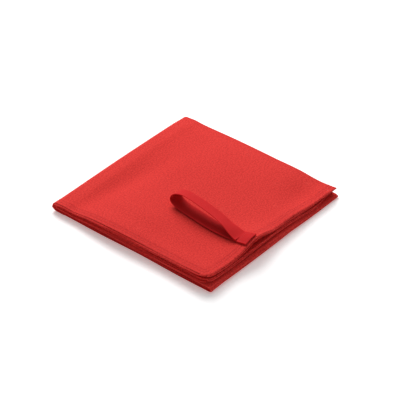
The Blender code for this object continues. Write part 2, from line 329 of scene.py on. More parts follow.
@dataclass
class RowSection:
    """The line that one row's cloth follows across the pile, by its length from the outer edge."""

    lowest: int
    upright: bool
    outer_hem: HemShape
    inner_hem: HemShape = HemShape(INNER_HEM)
    length: float = field(init=False, default=0.0)
    breaks: list[tuple[float, float, float]] = field(init=False, default_factory=list)
    table: Array = field(init=False, default_factory=lambda: np.zeros((0, 3)))

    def __post_init__(self) -> None:
        """Lays the line out: four plies, two far folds and one side fold."""
        heights = [(self.lowest + step) * PITCH + CLOTH / 2 for step in range(PLIES_IN_ROW)]
        if self.upright:
            heights.reverse()
        outer, inner, third, fourth = heights
        down = -90.0 if self.upright else 90.0
        middle = (outer + fourth) / 2
        runs = [
            ((Y_SIDE, outer), (Y_FAR_CENTRE, outer)),
            self.arc((Y_FAR_CENTRE, middle), FAR_RADIUS, -down, down),
            ((Y_FAR_CENTRE, fourth), (Y_SIDE_CENTRE, fourth)),
            self.arc((Y_SIDE_CENTRE, (third + fourth) / 2), INNER_RADIUS, down, 3 * down),
            ((Y_SIDE_CENTRE, third), (Y_FAR_CENTRE, third)),
            self.arc((Y_FAR_CENTRE, middle), INNER_RADIUS, down, -down),
            ((Y_FAR_CENTRE, inner), (Y_SIDE + INNER_HEM_BACK, inner)),
        ]
        rows: list[tuple[float, float, float]] = []
        at = 0.0
        for points in runs:
            start = at
            for before, after in zip(points, points[1:]):
                if not rows:
                    rows.append((0.0, *before))
                at += math.dist(before, after)
                rows.append((at, *after))
            self.breaks.append((start, at, (at - start) / 12 if len(points) > 2 else 0.0))
        self.length = at
        self.table = np.array(rows)

    @staticmethod
    def arc(
        centre: tuple[float, float], radius: float, first: float, last: float
    ) -> list[tuple[float, float]]:
        """Points on a half circle, from one angle in degrees to another."""
        angles = np.radians(np.linspace(first, last, 49))
        return [(centre[0] + radius * math.cos(a), centre[1] + radius * math.sin(a)) for a in angles]

    def values(self, start: float, stop: float, step: float) -> Array:
        """Lengths to sample between start and stop: step apart on the plies and closer in the folds.

        Args:
            start: The first length.
            stop: The last length.
            step: The spacing on the flat plies.

        Returns:
            The lengths in order.
        """
        found = [np.array([start, stop])]
        for first, last, fine in self.breaks:
            found.append(spaced(first, last, fine or step))
        every = np.unique(np.round(np.concatenate(found), 7))
        every = every[(every >= start) & (every <= stop)]
        keep = np.concatenate(([True], np.diff(every) > 0.08 * MM))
        keep[-1] = True
        return every[keep]

    def at(self, run: Array) -> tuple[Array, Array]:
        """The line's Y and Z at lengths along it."""
        y = np.interp(run, self.table[:, 0], self.table[:, 1])
        z = np.interp(run, self.table[:, 0], self.table[:, 2])
        return y, z

    def sunk(self, run: Array, depth: Array) -> tuple[Array, Array]:
        """The line's Y and Z, moved towards the inside of the row.

        Args:
            run: Lengths along the line.
            depth: How far each is moved.

        Returns:
            The Y and the Z.
        """
        step = 0.1 * MM
        y, z = self.at(run)
        before, after = self.at(run - step), self.at(run + step)
        along, rise = after[0] - before[0], after[1] - before[1]
        size = np.maximum(np.hypot(along, rise), 1e-12)
        side = -1.0 if self.upright else 1.0
        return y - side * rise / size * depth, z + side * along / size * depth

    def outer_share(self, run: Array) -> Array:
        """1 in the hem on the outer free edge, and 0 past it."""
        return smooth((HEM_WIDTH + HEM_EASE / 2 - run) / HEM_EASE)

    def inner_share(self, run: Array) -> Array:
        """1 in the hem on the inner free edge, and 0 past it."""
        return smooth((run - self.length + HEM_WIDTH + HEM_EASE / 2) / HEM_EASE)

    def half(self, run: Array) -> Array:
        """Half the thickness of the cloth with its side hems.

        Args:
            run: Lengths along the line.

        Returns:
            Half the thickness at each length.
        """
        outer = self.outer_share(run)
        inner = self.inner_share(run)
        plain = CLOTH / 2 * (1 - outer - inner)
        return plain + outer * self.outer_hem.half(run) + inner * self.inner_hem.half(self.length - run)

    def depth(self, run: Array) -> Array:
        """How far the cloth's middle is sunk by the hem."""
        return self.outer_share(run) * self.outer_hem.sink()


# ---------------------------------------------------------------- making meshes


class Maker:
    """Makes closed meshes of cloth and thread, each with the cloth's own coordinates."""

    LAY = "lay"
    EDGE_ANGLES = (38.0, 66.0, 90.0, 114.0, 142.0)
    STITCH_SHARES = (0.0, 0.12, 0.32, 0.5, 0.68, 0.88, 1.0)
    STITCH_WIDTHS = (0.25, 0.8, 1.0, 1.0, 1.0, 0.8, 0.25)
    STITCH_HEIGHTS = (-1.3, -0.3, 0.35, 0.5, 0.35, -0.3, -1.3)
    THREAD_SIDES = 8
    CAP = ((0, 1, 2, 3), (0, 3, 4, 7), (4, 5, 6, 7))

    @staticmethod
    def normals(place: Place, first: Array, second: Array) -> Array:
        """The surface's unit normals, from small steps either way.

        Args:
            place: The surface, as a function of two lengths.
            first: The first lengths.
            second: The second lengths.

        Returns:
            One normal at each place.
        """
        step = 0.25 * MM
        along = place(first + step, second) - place(first - step, second)
        across = place(first, second + step) - place(first, second - step)
        return unit(np.cross(along, across))

    @classmethod
    def sheet(
        cls,
        name: str,
        place: Place,
        first: Array,
        second: Array,
        half: Profile,
        layer: float = 0.0,
        square: Optional[Callable[[Array, Array], tuple[Array, Array]]] = None,
    ) -> bpy.types.Object:
        """A sheet of cloth as one closed mesh with rounded edges.

        Args:
            name: The piece's name.
            place: The middle surface, as a function of two lengths.
            first: Lengths to sample one way.
            second: Lengths to sample the other way.
            half: Half the thickness at two lengths.
            layer: A number that sets this cloth's mottling apart.
            square: The cloth's own coordinates, where they aren't the two lengths.

        Returns:
            The piece.
        """
        one, two = np.meshgrid(first, second, indexing="ij")
        middle = place(one, two)
        facing = cls.normals(place, one, two)
        thick = half(one, two)[..., None]
        own = square(one, two) if square else (one, two)
        lay = np.stack((*own, np.full_like(one, layer)), axis=-1)
        rows, columns = one.shape
        index = np.arange(rows * columns).reshape(rows, columns)
        around = np.concatenate((index[:-1, 0], index[-1, :-1], index[:0:-1, -1], index[0, :0:-1]))
        flat_middle = middle.reshape(-1, 3)
        outward = cls.outward(middle, around)
        edge = flat_middle[around]
        up = facing.reshape(-1, 3)[around]
        size = thick.reshape(-1, 1)[around]
        rings = [
            edge + outward * size * math.sin(angle) + up * size * math.cos(angle)
            for angle in np.radians(cls.EDGE_ANGLES)
        ]
        front = (middle + facing * thick).reshape(-1, 3)
        back = (middle - facing * thick).reshape(-1, 3)
        points = np.concatenate((front, back, *rings))
        count, border = rows * columns, len(around)
        quads = np.stack((index[:-1, :-1], index[1:, :-1], index[1:, 1:], index[:-1, 1:]), axis=-1)
        quads = quads.reshape(-1, 4)
        faces = [quads, (quads + count)[:, ::-1]]
        chain = [around] + [2 * count + ring * border + np.arange(border) for ring in range(len(rings))]
        chain.append(around + count)
        for upper, lower in zip(chain, chain[1:]):
            faces.append(np.stack((upper, lower, np.roll(lower, -1), np.roll(upper, -1)), axis=-1))
        lay_flat = lay.reshape(-1, 3)
        lays = np.concatenate((lay_flat, lay_flat, *[lay_flat[around]] * len(rings)))
        return cls.mesh(name, points, np.concatenate(faces), lays)

    @staticmethod
    def outward(middle: Array, around: Array) -> Array:
        """Directions that point out of a grid, in its own surface, along its border.

        Args:
            middle: The grid's points.
            around: The numbers of its border points, in order.

        Returns:
            A unit vector for each border point.
        """
        rows, columns = middle.shape[:2]
        out = np.zeros_like(middle)
        out[0] += unit(middle[0] - middle[1])
        out[-1] += unit(middle[-1] - middle[-2])
        out[:, 0] += unit(middle[:, 0] - middle[:, 1])
        out[:, -1] += unit(middle[:, -1] - middle[:, -2])
        return unit(out.reshape(rows * columns, 3)[around])

    @classmethod
    def mesh(cls, name: str, points: Array, faces: Array, lays: Array) -> bpy.types.Object:
        """A smooth-shaded object from points and four-cornered faces.

        Args:
            name: The piece's name.
            points: The places of its vertices.
            faces: Four vertex numbers for each face.
            lays: The cloth's own coordinates at each vertex.

        Returns:
            The piece, linked to the scene.
        """
        data = bpy.data.meshes.new(name)
        data.from_pydata(points.tolist(), [], faces.tolist())
        data.shade_smooth()
        own = data.attributes.new(cls.LAY, "FLOAT_VECTOR", "POINT")
        own.data.foreach_set("vector", lays.astype(np.float32).ravel())
        made = bpy.data.objects.new(name, data)
        bpy.context.scene.collection.objects.link(made)
        return made

    @classmethod
    def stitches(
        cls, name: str, line: Array, facing: Array, stitch: float, space: float, radius: float
    ) -> bpy.types.Object:
        """A row of stitches: short lengths of thread that dip into the cloth at both ends.

        Args:
            name: The piece's name.
            line: Closely spaced points on the cloth's face.
            facing: The face's normal at each point.
            stitch: The length of a stitch.
            space: The gap between two stitches.
            radius: The thread's radius.

        Returns:
            The piece.
        """
        run = np.concatenate(([0.0], np.cumsum(np.linalg.norm(np.diff(line, axis=0), axis=1))))
        count = max(1, int((run[-1] + space) / (stitch + space)))
        starts = np.arange(count) * (stitch + space)
        at = (starts[:, None] + np.array(cls.STITCH_SHARES) * stitch).ravel()
        centre = along_line(at, run, line)
        up = unit(along_line(at, run, facing))
        ahead, behind = (along_line(at + step, run, line) for step in (0.2 * MM, -0.2 * MM))
        side = unit(np.cross(unit(ahead - behind), up))
        wide = np.tile(cls.STITCH_WIDTHS, count)[:, None] * radius
        centre = centre + up * np.tile(cls.STITCH_HEIGHTS, count)[:, None] * radius
        ring = cls.THREAD_SIDES
        turns = np.arange(ring) * 2 * math.pi / ring
        rounds = [(centre + side * wide * math.cos(t) + up * wide * math.sin(t))[:, None] for t in turns]
        points = np.concatenate(rounds, axis=1).reshape(-1, 3)
        faces = []
        stations = len(cls.STITCH_SHARES)
        for each in range(count):
            base = each * stations * ring
            grid = base + np.arange(stations * ring).reshape(stations, ring)
            ahead_ring = np.roll(grid, -1, axis=1)
            walls = np.stack((grid[:-1], grid[1:], ahead_ring[1:], ahead_ring[:-1]), axis=-1)
            faces.append(walls.reshape(-1, 4))
            for row, flip in ((grid[0], 1), (grid[-1], -1)):
                faces.append(row[np.array(cls.CAP)][:, ::flip])
        lays = np.stack((np.repeat(at, ring), np.tile(turns, len(at)), np.zeros(len(at) * ring)), axis=-1)
        return cls.mesh(name, points, np.concatenate(faces), lays)


# ---------------------------------------------------------------- shading


class Wire:
    """One output socket, so that shader maths can be written as an expression."""

    def __init__(self, graph: "Graph", socket: bpy.types.NodeSocket) -> None:
        """Keeps the socket and the graph that it is in."""
        self.graph = graph
        self.socket = socket

    def maths(self, operation: str, *values: Value) -> "Wire":
        """A Math node on these values."""
        inputs = {index: value for index, value in enumerate(values)}
        return self.graph.node("ShaderNodeMath", {"operation": operation}, inputs)

    def __add__(self, other: Value) -> "Wire":
        """The sum."""
        return self.maths("ADD", self, other)

    __radd__ = __add__

    def __sub__(self, other: Value) -> "Wire":
        """The difference."""
        return self.maths("SUBTRACT", self, other)

    def __rsub__(self, other: Value) -> "Wire":
        """The difference, the other way round."""
        return self.maths("SUBTRACT", other, self)

    def __mul__(self, other: Value) -> "Wire":
        """The product."""
        return self.maths("MULTIPLY", self, other)

    __rmul__ = __mul__

    def __truediv__(self, other: Value) -> "Wire":
        """The quotient."""
        return self.maths("DIVIDE", self, other)

    def __pow__(self, other: Value) -> "Wire":
        """The power."""
        return self.maths("POWER", self, other)

    def sine(self) -> "Wire":
        """The sine."""
        return self.maths("SINE", self)

    def size(self) -> "Wire":
        """The value without its sign."""
        return self.maths("ABSOLUTE", self)

    def step(self, low: float, high: float) -> "Wire":
        """A smooth step from 0 at low to 1 at high."""
        settings = {"interpolation_type": "SMOOTHSTEP"}
        inputs = {"Value": self, "From Min": low, "From Max": high}
        return self.graph.node("ShaderNodeMapRange", settings, inputs)


class Graph:
    """The node tree of one material."""

    MIX_INPUTS = (0, 6, 7)
    MIX_COLOUR = 2

    def __init__(self, name: str) -> None:
        """Makes the material and finds its shader."""
        self.material = bpy.data.materials.new(name)
        self.material.use_nodes = True
        self.tree = self.material.node_tree
        self.shader = self.tree.nodes["Principled BSDF"]

    def node(
        self,
        kind: str,
        settings: dict[str, object],
        inputs: dict[Union[str, int], object],
        output: Union[str, int] = 0,
    ) -> Wire:
        """Adds a node.

        Args:
            kind: The node's type.
            settings: Its settings, which are set first.
            inputs: Values or wires for its sockets, by name or number.
            output: The socket to give back.

        Returns:
            The wire from that socket.
        """
        made = self.tree.nodes.new(kind)
        for key, value in settings.items():
            setattr(made, key, value)
        for key, value in inputs.items():
            self.join(made.inputs[key], value)
        return Wire(self, made.outputs[output])

    def join(self, socket: bpy.types.NodeSocket, value: object) -> None:
        """Links a wire to a socket, or sets the socket's own value."""
        if isinstance(value, Wire):
            self.tree.links.new(value.socket, socket)
        else:
            socket.default_value = value

    def finish(self, **values: object) -> bpy.types.Material:
        """Sets the shader's sockets, whose names have _ for a space, and gives the material."""
        for key, value in values.items():
            self.join(self.shader.inputs[key.replace("_", " ")], value)
        return self.material

    def lay(self) -> Wire:
        """The cloth's own coordinates."""
        return self.node("ShaderNodeAttribute", {"attribute_name": Maker.LAY}, {}, "Vector")

    def parts(self, vector: Wire) -> tuple[Wire, Wire, Wire]:
        """A vector's three numbers."""
        made = self.tree.nodes.new("ShaderNodeSeparateXYZ")
        self.join(made.inputs[0], vector)
        return tuple(Wire(self, made.outputs[index]) for index in range(3))

    def noise(self, vector: Wire, scale: float, detail: float = 2.0, rough: float = 0.5) -> Wire:
        """Soft noise from 0 to 1."""
        inputs = {"Vector": vector, "Scale": scale, "Detail": detail, "Roughness": rough}
        return self.node("ShaderNodeTexNoise", {}, inputs, "Fac")

    def blend(self, share: Value, first: object, second: object) -> Wire:
        """A colour between two.

        Args:
            share: How much of the second colour there is.
            first: The first colour.
            second: The second colour.

        Returns:
            The wire from the mixed colour.
        """
        made = self.tree.nodes.new("ShaderNodeMix")
        made.data_type = "RGBA"
        for index, value in zip(self.MIX_INPUTS, (share, first, second)):
            self.join(made.inputs[index], value)
        return Wire(self, made.outputs[self.MIX_COLOUR])

    def bump(self, height: Wire, strength: float, distance: float) -> Wire:
        """A normal from a height."""
        inputs = {"Strength": strength, "Distance": distance, "Height": height}
        return self.node("ShaderNodeBump", {}, inputs, "Normal")


Colour = tuple[float, float, float, float]
CLOTH_COLOURS = ((0.77, 0.046, 0.037, 1), (0.54, 0.020, 0.019, 1), (0.83, 0.10, 0.075, 1))


@dataclass(frozen=True)
class ClothFinish:
    """Matt, coated glass cloth: a fine plain weave, mottled dye and a little wear."""

    name: str
    light: Colour
    dark: Colour
    worn: Colour
    thread: float = 0.85 * MM
    grain: float = 0.16 * MM
    sheen: float = 0.08
    roughness: float = 0.88

    def build(self) -> bpy.types.Material:
        """Makes the material."""
        graph = Graph(self.name)
        lay = graph.lay()
        a, b, layer = graph.parts(lay)
        wander = graph.noise(lay, 260.0, 1.0) - 0.5
        one = a * (math.pi / self.thread) + wander * 1.3 + layer * 0.7
        two = b * (math.pi / self.thread) - wander * 1.1 + layer * 1.1
        ridge_one, ridge_two = one.sine(), two.sine()
        over = (ridge_one * ridge_two).step(-0.12, 0.12)
        warp = (ridge_one.size() ** 0.6) * (0.62 + 0.38 * ridge_two.size())
        weft = (ridge_two.size() ** 0.6) * (0.62 + 0.38 * ridge_one.size())
        weave = over * warp + (1 - over) * weft
        fluff = graph.noise(lay, 900.0, 3.0, 0.6)
        mottle = graph.noise(lay, 520.0, 2.0, 0.6)
        broad = graph.noise(lay, 24.0, 3.0, 0.5)
        uneven = (mottle - 0.5).step(-0.22, 0.22)
        tone = uneven * 0.60 + broad * 0.16 + weave * 0.16 + fluff * 0.16
        colour = graph.blend(tone.step(0.10, 0.95), self.dark, self.light)
        rubbed = graph.noise(lay, 70.0, 5.0, 0.7).step(0.60, 0.80) * 0.35
        colour = graph.blend(rubbed, colour, self.worn)
        height = weave * 0.55 + fluff * 0.35 + mottle * 0.55
        return graph.finish(
            Base_Color=colour,
            Roughness=self.roughness + 0.10 * (fluff - 0.5),
            Normal=graph.bump(height, 0.75, self.grain * 2.2),
            Specular_IOR_Level=0.14,
            Sheen_Weight=self.sheen,
            Sheen_Roughness=0.45,
            Sheen_Tint=(1.0, 0.42, 0.38, 1.0),
        )


@dataclass(frozen=True)
class TapeFinish:
    """Woven polyester tape: a fine slanting rib, firmer edges and a soft sheen."""

    name: str
    light: Colour
    dark: Colour
    width: float
    rib: float = 1.05 * MM

    def build(self) -> bpy.types.Material:
        """Makes the material."""
        graph = Graph(self.name)
        lay = graph.lay()
        along, across, _ = graph.parts(lay)
        slant = (along + across.size() * 0.9) * (2 * math.pi / self.rib)
        ribs = slant.sine() * 0.5 + 0.5
        cords = (across * (2 * math.pi / (self.width / 15))).sine() * 0.5 + 0.5
        edge = across.size().step(self.width * 0.40, self.width * 0.47)
        fluff = graph.noise(lay, 1100.0, 3.0, 0.6)
        broad = graph.noise(lay, 60.0, 3.0, 0.5)
        tone = ribs * 0.30 + cords * 0.12 + broad * 0.38 + fluff * 0.18 + edge * 0.12
        colour = graph.blend(tone.step(0.15, 0.90), self.dark, self.light)
        height = ribs * 0.5 * (1 - edge * 0.6) + cords * 0.35 + edge * 0.7 + fluff * 0.25
        return graph.finish(
            Base_Color=colour,
            Roughness=0.78 + 0.12 * fluff,
            Normal=graph.bump(height, 0.7, 0.22 * MM),
            Specular_IOR_Level=0.12,
            Sheen_Weight=0.08,
            Sheen_Roughness=0.35,
            Sheen_Tint=(1.0, 0.20, 0.20, 1.0),
        )


@dataclass(frozen=True)
class ThreadFinish:
    """Twisted sewing thread."""

    name: str
    light: Colour
    dark: Colour

    def build(self) -> bpy.types.Material:
        """Makes the material."""
        graph = Graph(self.name)
        lay = graph.lay()
        along, turn, _ = graph.parts(lay)
        twist = (along * (2 * math.pi / (0.9 * MM)) + turn).sine() * 0.5 + 0.5
        fluff = graph.noise(lay, 1500.0, 2.0, 0.6)
        colour = graph.blend((twist * 0.7 + fluff * 0.3).step(0.1, 0.9), self.dark, self.light)
        return graph.finish(
            Base_Color=colour,
            Roughness=0.55 + 0.15 * fluff,
            Normal=graph.bump(twist, 0.6, 0.12 * MM),
            Specular_IOR_Level=0.4,
        )


@dataclass(frozen=True)
class FloorFinish:
    """A plain pale light table with a slight unevenness."""

    name: str
    colour: Colour
    faint: Colour
    glow: float = 0.24

    def build(self) -> bpy.types.Material:
        """Makes the material."""
        graph = Graph(self.name)
        place = graph.node("ShaderNodeTexCoord", {}, {}, "Object")
        tone = graph.noise(place, 3.0, 2.0)
        return graph.finish(
            Base_Color=graph.blend(tone, self.colour, self.faint),
            Roughness=0.95,
            Specular_IOR_Level=0.1,
            Emission_Color=(1.0, 1.0, 1.0, 1.0),
            Emission_Strength=self.glow,
        )


class Slot(Enum):
    """The record's slots, each with the finish that this scene gives it."""

    CLOTH = "cloth"
    FOLD = "fold"
    HEM = "hem"
    TAPE = "tape"
    THREAD = "thread"


class Wardrobe:
    """The finishes by slot, each made once."""

    FINISHES: dict[Slot, Union[ClothFinish, TapeFinish, ThreadFinish]] = {
        Slot.CLOTH: ClothFinish("coated_cloth", *CLOTH_COLOURS),
        Slot.FOLD: ClothFinish("folded_cloth", *CLOTH_COLOURS),
        Slot.HEM: ClothFinish(
            "hemmed_cloth", (0.75, 0.043, 0.035, 1), (0.52, 0.018, 0.018, 1), (0.83, 0.11, 0.08, 1)
        ),
        Slot.TAPE: TapeFinish("woven_tape", (0.66, 0.017, 0.019, 1), (0.47, 0.010, 0.012, 1), 20 * MM),
        Slot.THREAD: ThreadFinish("sewing_thread", (0.70, 0.036, 0.034, 1), (0.44, 0.014, 0.015, 1)),
    }

    def __init__(self) -> None:
        """Makes every finish."""
        self.made = {slot: finish.build() for slot, finish in self.FINISHES.items()}

    def dress(self, piece: bpy.types.Object, slot: Slot) -> None:
        """Gives a piece the finish made for its slot."""
        piece.data.materials.clear()
        piece.data.materials.append(self.made[slot])


WARDROBE = Wardrobe()


def install(
    piece: bpy.types.Object, slot: Slot, replaced: Sequence[str], body: Optional[str]
) -> bpy.types.Object:
    """Dresses a piece, puts it on its body and hides what it stands for.

    Args:
        piece: The piece.
        slot: Its finish.
        replaced: The frame's nodes that it stands for.
        body: The body that it rides on, or None to leave it on no body.

    Returns:
        The piece.
    """
    WARDROBE.dress(piece, slot)
    if body:
        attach(piece, body)
    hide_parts(*replaced)
    LOG.info("%s: %d faces, in place of %s", piece.name, len(piece.data.polygons), ", ".join(replaced))
    return piece


# ---------------------------------------------------------------- the rows


@dataclass
class Row:
    """One row of four plies: its cloth, the hems along its side and, on upper rows, its end."""

    name: str
    number: int
    body: str
    corner_radius: float = 13 * MM
    across_step: float = 4.0 * MM
    along_step: float = 4.0 * MM
    hem_thickness: float = 1.5 * MM
    section: RowSection = field(init=False)
    hems: list[bpy.types.Object] = field(init=False, default_factory=list)
    cloth: Optional[bpy.types.Object] = field(init=False, default=None)

    def __post_init__(self) -> None:
        """Lays out the row's line across the pile."""
        lowest = (3 - self.number) * PLIES_IN_ROW
        self.section = RowSection(lowest, self.number % 2 == 0, HemShape(self.hem_thickness))

    @property
    def has_end(self) -> bool:
        """Whether the row ends in a hem, and not in the front fold."""
        return self.number < 2

    @property
    def drawn_radius(self) -> float:
        """How round the row's corners at the free end are."""
        return 15 * MM if self.has_end else 0.0

    @property
    def starts(self) -> float:
        """Where the row's pieces start, clear of the back folds."""
        return X_BACK_CENTRE + FOLD_TAIL

    @property
    def stops(self) -> float:
        """Where the row's side hems stop."""
        return X_FREE if self.has_end else X_FRONT_CENTRE - FOLD_TAIL

    def place(self, run: Array, x: Array) -> Array:
        """The middle of the plain cloth at rest."""
        y, z = self.section.at(run)
        return PILE.settle(np.stack(np.broadcast_arrays(x, y, z), axis=-1), self.drawn_radius)

    def hem_place(self, run: Array, x: Array, depth: Array, drawn: bool = True) -> Array:
        """The middle of a hem at rest, with its corner drawn in where it isn't cut round."""
        y, z = self.section.sunk(run, depth)
        flat = np.stack(np.broadcast_arrays(x, y, z), axis=-1)
        return PILE.settle(flat, self.drawn_radius if drawn else 0.0)

    def build_cloth(self) -> None:
        """The row's cloth, one strip that runs back and forth four times."""
        stop = X_FREE - HEM_UNDERLAP if self.has_end else self.stops
        first = self.section.values(HEM_UNDERLAP, self.section.length - HEM_UNDERLAP, self.across_step)
        second = spaced(self.starts, stop, self.along_step)
        made = Maker.sheet(
            f"{self.name}_folded_cloth",
            self.place,
            first,
            second,
            lambda one, two: np.full_like(one, CLOTH / 2),
            self.number,
        )
        self.cloth = install(made, Slot.CLOTH, [f"{self.name}_cloth"], self.body)

    def edge_path(self, run: Array, inward: Array) -> tuple[Array, Array]:
        """The cloth's coordinates on the hem that goes along the side and round the flap's corner.

        Args:
            run: Lengths along the edge, from where the hem starts.
            inward: Lengths in from the edge.

        Returns:
            The length across the row, and X.
        """
        straight = X_FREE - self.corner_radius - self.starts
        turn = np.clip((run - straight) / self.corner_radius, 0, math.pi / 2)
        after = np.maximum(run - straight - self.corner_radius * math.pi / 2, 0)
        along = self.starts + np.minimum(run, straight)
        across = self.corner_radius * (1 - np.cos(turn)) + after + inward * np.cos(turn)
        x = along + self.corner_radius * np.sin(turn) - inward * np.sin(turn)
        return across, x

    def outer_place(self, run: Array, inward: Array) -> Array:
        """The middle of the outer side hem."""
        hem = self.section.outer_hem
        if self.has_end:
            across, x = self.edge_path(run, inward)
        else:
            across, x = inward, run + self.starts
        return self.hem_place(across, x, np.full_like(across, hem.sink()), drawn=False)

    def build_outer_hem(self) -> None:
        """The hem on the outer free edge; on an upper row it goes round the corner."""
        corner = self.corner_radius * math.pi / 2 if self.has_end else 0.0
        straight = self.stops - self.starts - (self.corner_radius if self.has_end else 0.0)
        first = spaced(0, straight, 3 * MM)
        if corner:
            first = np.concatenate((first[:-1], spaced(straight, straight + corner, 1.2 * MM)))
        made = Maker.sheet(
            f"{self.name}_outer_hem",
            self.outer_place,
            first,
            spaced(0, HEM_WIDTH, 0.6 * MM),
            lambda one, two: self.section.outer_hem.half(two),
            self.number,
            self.edge_path if self.has_end else lambda one, two: (two, one),
        )
        self.hems.append(install(made, Slot.HEM, [f"{self.name}_side_hem_outer"], self.body))

    def build_inner_hem(self) -> None:
        """The hem on the inner free edge, a little further in."""
        length = self.section.length
        made = Maker.sheet(
            f"{self.name}_inner_hem",
            lambda run, inward: self.hem_place(length - inward, run, np.zeros_like(run)),
            spaced(self.starts, self.stops, 4 * MM),
            spaced(0, HEM_WIDTH, 0.75 * MM),
            lambda one, two: self.section.inner_hem.half(two),
            self.number,
            lambda one, two: (length - two, one),
        )
        self.hems.append(install(made, Slot.HEM, [f"{self.name}_side_hem_inner"], self.body))

    def end_share(self, run: Array) -> Array:
        """1 on the outer ply of the end hem, and 0 past its far fold."""
        start, stop, _ = self.section.breaks[1]
        return 1 - smooth((run - start) / (stop - start))

    def end_place(self, run: Array, inward: Array) -> Array:
        """The middle of the end hem."""
        depth = self.end_share(run) * self.section.outer_hem.sink()
        return self.hem_place(run, X_FREE - inward, depth)

    def end_half(self, run: Array, inward: Array) -> Array:
        """Half the thickness of the end hem."""
        share = self.end_share(run)
        outer, inner = self.section.outer_hem, self.section.inner_hem
        return share * outer.half(inward) + (1 - share) * inner.half(inward)

    def build_end_hem(self) -> None:
        """The hem at the free end, folded with the row."""
        start = self.corner_radius - END_HEM_OVERLAP
        made = Maker.sheet(
            f"{self.name}_end_hem_band",
            self.end_place,
            self.section.values(start, self.section.length - 0.5 * MM, 3.2 * MM),
            spaced(0, HEM_WIDTH, 0.6 * MM),
            self.end_half,
            self.number,
            lambda one, two: (one, X_FREE - two),
        )
        self.hems.append(install(made, Slot.HEM, [f"{self.name}_end_hem"], self.body))

    def build(self) -> None:
        """Makes all of the row."""
        self.build_cloth()
        self.build_outer_hem()
        self.build_inner_hem()
        if self.has_end:
            self.build_end_hem()

    def declare(self, with_pieces: Sequence[bpy.types.Object] = ()) -> None:
        """Works out what size the row's cloth is when it is laid flat; nothing uses the size."""
        stop = X_FREE - HEM_UNDERLAP if self.has_end else self.stops
        flat = (self.section.length - 2 * HEM_UNDERLAP, stop - self.starts)


# ---------------------------------------------------------------- the folds


@dataclass
class Turn:
    """Cloth that goes round a fold line along Y, with a flat tail on each side."""

    centre_x: float
    centre_z: float
    direction: float
    mean_radius: float

    def bend(self, y: Array, z: Array, run: Array) -> Array:
        """Points at rest: run is 0 where the fold starts, and below 0 on the first tail.

        Args:
            y: Places across the pile.
            z: Heights of the cloth on the fold's upper side.
            run: Lengths along the cloth.

        Returns:
            The points.
        """
        full = math.pi * self.mean_radius
        angle = np.clip(run / self.mean_radius, 0, math.pi)
        tail = np.where(run < 0, -run, np.maximum(run - full, 0))
        reach = z - self.centre_z
        x = self.centre_x + self.direction * (reach * np.sin(angle) - tail)
        height = self.centre_z + reach * np.cos(angle)
        return PILE.settle(np.stack(np.broadcast_arrays(x, y, height), axis=-1))

    def runs(self, steps: int) -> Array:
        """Lengths to sample: coarse on the tails and even round the fold."""
        full = math.pi * self.mean_radius
        tail = spaced(-FOLD_TAIL, 0, 2.2 * MM)
        return np.concatenate((tail[:-1], np.linspace(0, full, steps + 1), full - tail[:-1][::-1]))


@dataclass
class SweptFold:
    """A fold that takes a whole row round with it, hems and far folds included."""

    name: str
    row: Row
    turn: Turn
    steps: int

    def build(self) -> bpy.types.Object:
        """Makes the fold as one strip of cloth."""
        section = self.row.section

        def place(run: Array, along: Array) -> Array:
            """The middle of the cloth."""
            y, z = section.sunk(run, section.depth(run))
            return self.turn.bend(y, z, along)

        outer = spaced(0, HEM_WIDTH + MM, 0.6 * MM)
        plies = section.values(0, section.length, 4.5 * MM)
        inner = spaced(section.length - HEM_WIDTH - MM, section.length, 0.75 * MM)
        first = np.unique(np.concatenate((outer, plies, inner)))
        first = first[np.concatenate(([True], np.diff(first) > 0.05 * MM))]
        second = self.turn.runs(self.steps)
        return Maker.sheet(
            self.name,
            place,
            first,
            second,
            lambda one, two: section.half(one),
            self.row.number,
            lambda one, two: (one, self.turn.centre_x + self.turn.direction * two),
        )


